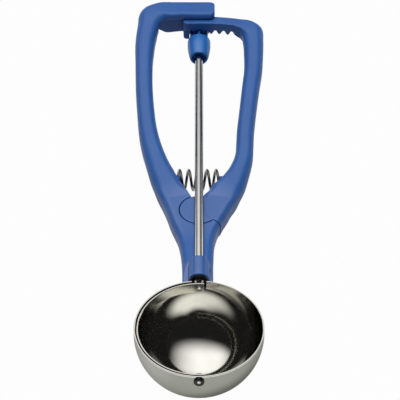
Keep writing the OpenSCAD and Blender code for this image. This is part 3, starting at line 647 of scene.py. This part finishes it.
def frame_moulding():
    piece = loft("frame_moulding", FRAME_ROWS, FRAME_RISE)
    pocket_x = STOP_LEFT + STROKE_X + SLIDE
    channel_near, channel_right = RACK_NEAR - 16, -20
    cut(piece, sector("channel", channel_near, CHANNEL_R, HUB_BOTTOM, ROOF_UNDER,
                      channel_right, asin(pocket_x / RACK_R) * 180 / pi))
    cut(piece, neck_shoulders())
    lug_y = FAR_Y - BACK_WALL
    join(piece, arch("boss", BOSS_R, NECK_TOP - SHOULDER_FALL - 2, BOWL_OUT - 3, BOSS_BACK),
         arch("lug", LUG_R, ARM_TOP - 2, lug_y, FAR_Y - 0.02))
    room = prism("room", lever_side(SLIDE), HUB_BOTTOM - 2, HUB_BOTTOM + HUB_H / 2 + 1)
    cut(room, at_pivot("under_hub", HUB_R, HUB_BOTTOM - 3, HUB_BOTTOM + HUB_H / 2 + 2))
    way, way_end = SHAFT_R + SLIDE, MESH_Y - 21
    cut(piece, ball("bowl_room", BOWL_OUT + RUN),
        drum("collar_room", BOWL_OUT + RUN, 0, 20, sides=128),
        block("notch", (-NECK_W, 0, -SHAFT_R - 1), (NECK_W, BOSS_FRONT, 19)),
        prism("upper_room", lever_side(SLIDE), HUB_MID, HUB_MID + HUB_H),
        at_pivot("disc_room", HUB_R + SLIDE, HUB_MID, HUB_MID + HUB_H),
        room,
        along("shaft_way", way, BOWL_OUT - 5, way_end),
        block("shaft_way_top", (-way, BOSS_BACK, 0), (way, way_end, 10)),
        along("bush_flange_room", FLANGE_ROOM_R, BOWL_OUT - 2, BOSS_FRONT),
        along("rear_bush_room", REAR_BUSH_ROOM_R, lug_y - 1, FAR_Y - 1),
        along("clip_room", CLIP_ROOM_R, FAR_Y - CLIP_ROOM_DEPTH, FAR_Y + 2),
        spring_pocket(-1),
        at_pivot("screw_room", SCREW_ROOM_R, HUB_BOTTOM - 1, HUB_MID + 1),
        at_pivot("head_room", HEAD_ROOM_R, HUB_BOTTOM - 1, HUB_BOTTOM + HEAD_ROOM_DEPTH),
        *(drum("bracket_screw_room", BRACKET_SCREW_ROOM_R, -22, NECK_TOP - HUB_H + 1.6,
               (0, BOWL_OUT + share * TONGUE_LEN, 0)) for share in BRACKET_SCREWS_AT))
    join(piece, spring_stud(-1))
    soften(piece, voxel=0.3, rounds=4)
    return place(piece, "frame", BLUE, "handle_nylon", "frame_handle")


def under_rack(name, turn, outline):
    """An outline seen from the pivot, as deep as a tooth, hanging at an angle under the rack."""
    rows = [[(x * cos(turn) - r * sin(turn), PIVOT_Y + r * cos(turn) + x * sin(turn), z)
             for x, z in outline] for r in (RACK_NEAR + 0.3, RACK_FAR - 0.3)]
    return rings(name, rows)


def rack_tooth(k):
    root = (PITCH - 0.9) / 2
    return under_rack("tooth", radians((k + 0.5) * TOOTH_ANGLE), [
        (-0.4, RACK_TIP_Z), (0.4, RACK_TIP_Z), (root, RACK_ROOT_Z), (root, RACK_ROOT_Z + 1),
        (-root, RACK_ROOT_Z + 1), (-root, RACK_ROOT_Z)])


def stop_lug():
    half, low, round_r = STOP_W / 2, -0.3, 1.4
    corner = [(round_r * (1 - cos(t)) - half, low + round_r * (1 - sin(t)))
              for t in np.linspace(0, pi / 2, 9)]
    return under_rack("stop", asin((STOP_LEFT - half) / RACK_R), [
        (-half, RACK_ROOT_Z + 1.5), *corner, (half, low), (half, RACK_ROOT_Z + 1.5)])


def lever_moulding():
    piece = loft("lever_moulding", LEVER_ROWS, LEVER_RISE)
    own = prism("own_side", lever_side(0), -30, 60)
    join(own, block("rack_side", (-LOOP_HALF_W, SEAM_END_Y - 1, -30),
                    (SEAM_FAR_X, SEAM_END_Y + LOOP_LEN, 60)))
    combine(piece, [own], "INTERSECT")
    cut(piece, at_pivot("frame_disc_room", HUB_R + SLIDE, HUB_BOTTOM - 3, HUB_MID + SLIDE / 2))
    join(piece, at_pivot("disc", HUB_R, HUB_MID + SLIDE / 2, HUB_TOP), stop_lug(),
         *(rack_tooth(k) for k in RACK_TEETH))
    # the lever's pocket is a little longer towards the pivot, as it swings past the spring
    cut(piece, spring_pocket(1), spring_pocket(1, -0.45), spring_pocket(1, -0.95),
        at_pivot("insert_room", INSERT_ROOM_R, HUB_MID - 1, HUB_MID + 4.5))
    join(piece, spring_stud(1))
    soften(piece, voxel=0.25, rounds=4)
    return place(piece, "lever", BLUE, "handle_nylon", "lever_handle")


# ---- the pinion ----

def pinion_moulding():
    front, back = MESH_Y - RACK_W / 2 - PINION_LEN, MESH_Y + RACK_W / 2
    show = 1.9
    body = PINION_LEN - show
    profile = [(SHAFT_R, 0), (NOSE_R - 0.9, 0), (NOSE_R - 0.7, 0), (NOSE_R - 0.2, 0.2),
               (NOSE_R, 0.8), (NOSE_R + 0.2, 0.1 * body), (NOSE_R + 0.45, 0.2 * body),
               (NOSE_R + 0.7, 0.32 * body), (PINION_R - 0.25, 0.45 * body),
               (PINION_R - 0.08, 0.55 * body), (PINION_R, 0.66 * body), (PINION_R, body - 1.1),
               (PINION_R - 0.25, body - 0.5), (PINION_R - 0.9, body), (SHAFT_R, body)]
    piece = turned("pinion_moulding", profile, (0, front, 0), "Y")
    root_half, taper, sunk = 1.15, 0.7, 0.3
    climb = [t / 6 for t in range(7)]
    flanks = [(t, 1) for t in climb] + [(t, -1) for t in reversed(climb)]
    outline = []
    for k in range(TEETH):
        turn = 2 * pi * k / TEETH
        for t, side in flanks:
            x = -side * (root_half - taper * t ** 1.5)
            z = ROOT_R - sunk + (TIP_R - ROOT_R + sunk) * t
            outline.append((x * cos(turn) + z * sin(turn), z * cos(turn) - x * sin(turn)))
    gear = rings("gear", [[(x, y, z) for x, z in outline] for y in (front + body - 0.5, back)])
    join(piece, gear)
    cut(piece, along("nose_hollow", NOSE_R - 0.9, front - 1, front + 3),
        along("bore", SHAFT_R + 0.02, front - 1, back + 1))
    soften(piece, voxel=0.16, rounds=3)
    return place(piece, "shaft", PINION_BLUE, "pinion_nylon", "pinion")


# ---- the steel ----

def arc(radius, start, end, steps):
    """Points of a circle about the bowl's centre, in degrees up from straight down."""
    return [(radius * sin(radians(a)), -radius * cos(radians(a)))
            for a in np.linspace(start, end, steps)]


def bowl_shell():
    fine = 0.09
    rim = [(BOWL_OUT, COLLAR - fine), (BOWL_OUT - fine, COLLAR), (BOWL_R + fine, COLLAR),
           (BOWL_R, COLLAR - fine)]
    outer = arc(BOWL_OUT, 0, 90, 60)[1:] + [(BOWL_OUT, COLLAR / 2)]
    inner = [(BOWL_R, COLLAR / 2)] + arc(BOWL_R, 90, 0, 60)[:-1]
    half = outer + rim + inner
    piece = turned("bowl_shell", [(0.02, -BOWL_OUT)] + half + [(0.02, -BOWL_R)], sides=192)
    cut(piece, arch("shaft_slot", SLOT_R, 2 * COLLAR, BOWL_R - 3, BOWL_R + 3))
    return place(piece, "frame", BOWL_STEEL, "bowl_steel", "bowl", sharp=40)


def blade_strip():
    """The strip from its square hole at the back, round the left of the bowl, to the rivet."""
    tab_half, edge, flank = 2.4, 0.15, 0.94
    tab = asin(tab_half / BLADE_OUT) * 180 / pi
    rows = []
    for a in np.linspace(90 - tab, 270 + tab, 180):
        t = radians(a)
        ring = []
        for r, z in ((BLADE_IN + edge, -1), (BLADE_OUT - edge, -1), (BLADE_OUT, -flank),
                     (BLADE_OUT, flank), (BLADE_OUT - edge, 1), (BLADE_IN + edge, 1),
                     (BLADE_IN, flank), (BLADE_IN, -flank)):
            height = z * BLADE_HALF_W
            flat = sqrt(max(r * r - height * height, 0))
            ring.append((flat * cos(t), flat * sin(t), height))
        rows.append(ring)
    piece = rings("blade_strip", rows)
    return place(piece, "shaft", BLADE_STEEL, "blade_steel", "scraper_blade", sharp=30)


def rod():
    """The shaft, with the square shank and the peened head that hold the blade."""
    start, end, head = BOSS_FRONT - 1, FAR_Y - 0.3, BLADE_IN - 0.6
    head_r, half = 0.8 * TENON, SHANK / 2
    outline = [(0.01, head), (head_r * 0.6, head + 0.04), (head_r, head + 0.3),
               (head_r, head + 0.5), (TENON / 2, head + 0.5), (TENON / 2, BLADE_OUT + 0.1),
               (half - 0.1, BLADE_OUT + 0.1), (half - 0.1, start), (SHAFT_R - 0.1, start),
               (SHAFT_R, start + 0.1), (SHAFT_R, end - 0.4), (SHAFT_R - 0.4, end), (0.01, end)]
    piece = turned("rod", outline, axis="Y", sides=64)
    join(piece, block("shank", (-half, BLADE_OUT, -half), (half, start + 0.5, half)))
    return place(piece, "shaft", SHAFT_STEEL, "shaft_steel", "shaft", sharp=30)


def spring_coil():
    sides, per_turn = 14, 48
    length = 2 * (SEAT_X - SEAT) - 2 * WIRE_R
    count = int(COIL_TURNS * per_turn)
    rows = []
    for i in range(count + 1):
        t = i / count
        a = 2 * pi * COIL_TURNS * (t - 0.5) + pi / 2
        out = np.array((0, cos(a), sin(a)))
        middle = np.array((length * (t - 0.5), SPRING_Y, SPRING_Z)) + out * COIL_R
        rows.append([middle + out * WIRE_R * cos(b) + np.array((WIRE_R * sin(b), 0, 0))
                     for b in np.arange(sides) * 2 * pi / sides])
    piece = rings("spring_coil", rows)
    place(piece, "frame", SPRING_STEEL, "spring_steel", "return_spring", sharp=50)
    left = Vector((-SEAT_X, SPRING_Y - MIDDLE_Y, SPRING_Z + BOWL_OUT)) * MM
    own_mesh(piece)
    return piece


def rivet_head():
    out, round_r = -BOWL_OUT, 0.7
    outline = [(0.01, 0.02), (RIVET_HEAD_R, 0.02), (RIVET_HEAD_R, -RIVET_HEAD_H + 0.75)]
    outline += [(RIVET_HEAD_R - round_r * (1 - cos(t)), -RIVET_HEAD_H + round_r * (1 - sin(t)))
                for t in np.linspace(0.1, pi / 2, 8)]
    outline += [(0.01, -RIVET_HEAD_H)]
    piece = turned("rivet_head", outline, (0, out, 0), "Y", 48)
    join(piece, along("rivet_stem", RIVET_R, out - 0.1, out + 2.6),
         along("rivet_end", RIVET_R + 0.7, out + 2.45, out + 3.15))
    return place(piece, "frame", RIVET_STEEL, "rivet_steel", "blade_rivet", sharp=30)


frame_moulding()
lever_moulding()
pinion_moulding()
bowl_shell()
blade_strip()
rod()
spring_coil()
rivet_head()

# The small pieces keep the shape of their solids
KEPT = {
    "bracket_steel": (BRACKET_STEEL, ["bowl_bracket"]),
    "fastener_steel": (FASTENER_STEEL, ["bracket_screws", "blade_washer", "pinion_pin",
                                        "thrust_washer", "clip_washer", "end_clip",
                                        "pivot_screw", "pivot_washer"]),
    "bush_acetal": (BLACK, ["front_bush", "rear_bush"]),
    "insert_brass": (BRASS, ["pivot_insert"]),
}
for slot, (finish, nodes) in KEPT.items():
    for node in nodes:
        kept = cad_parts[node]
        for filled in kept.material_slots:
            filled.material = finish


# ---- the room ----

FLOOR_HALF, FLOOR_Z, FLOOR_WHITE = 20, -0.0002, 0.975
LIGHT_PEAK, WALL, ROOM = 1.27, 0.96, 0.013
PANEL_LEFT, SIDE_FADE, FRONT_FADE, BACK_FADE = 0.25, (0.2, 1.6), (-0.7, 0), (0.5, 1.65)
BOW_MIDDLE, BOW_DEPTH = 0.15, 0.25
WALL_FADE = 0.07, 0.15


def floor_finish():
    """Pale paint, pure white to the eye and in reflections, and clear from underneath."""
    made, g = material("floor")
    paint = g.node("ShaderNodeBsdfDiffuse", {}, {"Color": (0.42, 0.42, 0.42, 1)})
    white = g.node("ShaderNodeEmission", {}, {"Color": (1, 1, 1, 1), "Strength": 1.0})
    seen, mirrored, through = (
        g.node("ShaderNodeLightPath", {}, {}, output=f"Is {ray} Ray")
        for ray in ("Camera", "Glossy", "Transmission"))
    share = seen.at_least(mirrored.at_least(through)) * FLOOR_WHITE
    top = g.node("ShaderNodeMixShader", {}, {0: share, 1: paint, 2: white})
    below = g.node("ShaderNodeNewGeometry", {}, {}, output="Backfacing")
    clear = g.node("ShaderNodeBsdfTransparent", {}, {"Color": (1, 1, 1, 1)})
    g.surface(g.node("ShaderNodeMixShader", {}, {0: below, 1: top, 2: clear}))
    return made


floor = solid("floor", [(-FLOOR_HALF, -FLOOR_HALF, 0), (FLOOR_HALF, -FLOOR_HALF, 0),
                        (FLOOR_HALF, FLOOR_HALF, 0), (-FLOOR_HALF, FLOOR_HALF, 0)], [(0, 1, 2, 3)])
floor.location.z = FLOOR_Z
floor.data.materials.append(floor_finish())


def studio():
    """A dim room with a soft panel overhead and a low white wall all round.

    The panel reaches back behind the scoop in a shallow bow and fades out at its edges. Its
    sizes are shares of its height above the scoop.
    """
    world = bpy.data.worlds.new("studio")
    world.use_nodes = True
    g = Graph(world.node_tree)
    way = g.node("ShaderNodeTexCoord", {}, {}, output="Generated")
    up = way.axis("Z")
    across, back = way.axis("X") / up, way.axis("Y") / up
    bow = across - BOW_MIDDLE
    slant = back - bow * bow * BOW_DEPTH
    panel = (up.ease(0, 0.05) * abs(across + PANEL_LEFT).ease(*SIDE_FADE, 1, 0)
             * slant.ease(*FRONT_FADE) * slant.ease(*BACK_FADE, 1, 0))
    glow = panel * LIGHT_PEAK + up.ease(*WALL_FADE, WALL, 0) + ROOM
    g.surface(g.node("ShaderNodeBackground", {}, {"Color": (1, 0.99, 0.97, 1), "Strength": glow}),
              "ShaderNodeOutputWorld")
    return world


def matt_fill(name, at, size, power):
    """A soft lamp that lifts the colours and leaves the reflections to the room."""
    data = bpy.data.lights.new(name, "AREA")
    data.shape, data.size, data.energy = "DISK", size, power
    lamp = bpy.data.objects.new(name, data)
    bpy.context.scene.collection.objects.link(lamp)
    lamp.location = at
    lamp.rotation_euler = (-Vector(at)).to_track_quat("-Z", "Y").to_euler()
    lamp.visible_glossy = False


bpy.context.scene.world = studio()
matt_fill("top_fill", at=(0, 0.25, 1.5), size=1.6, power=17)

bpy.context.scene.view_settings.view_transform = "Standard"
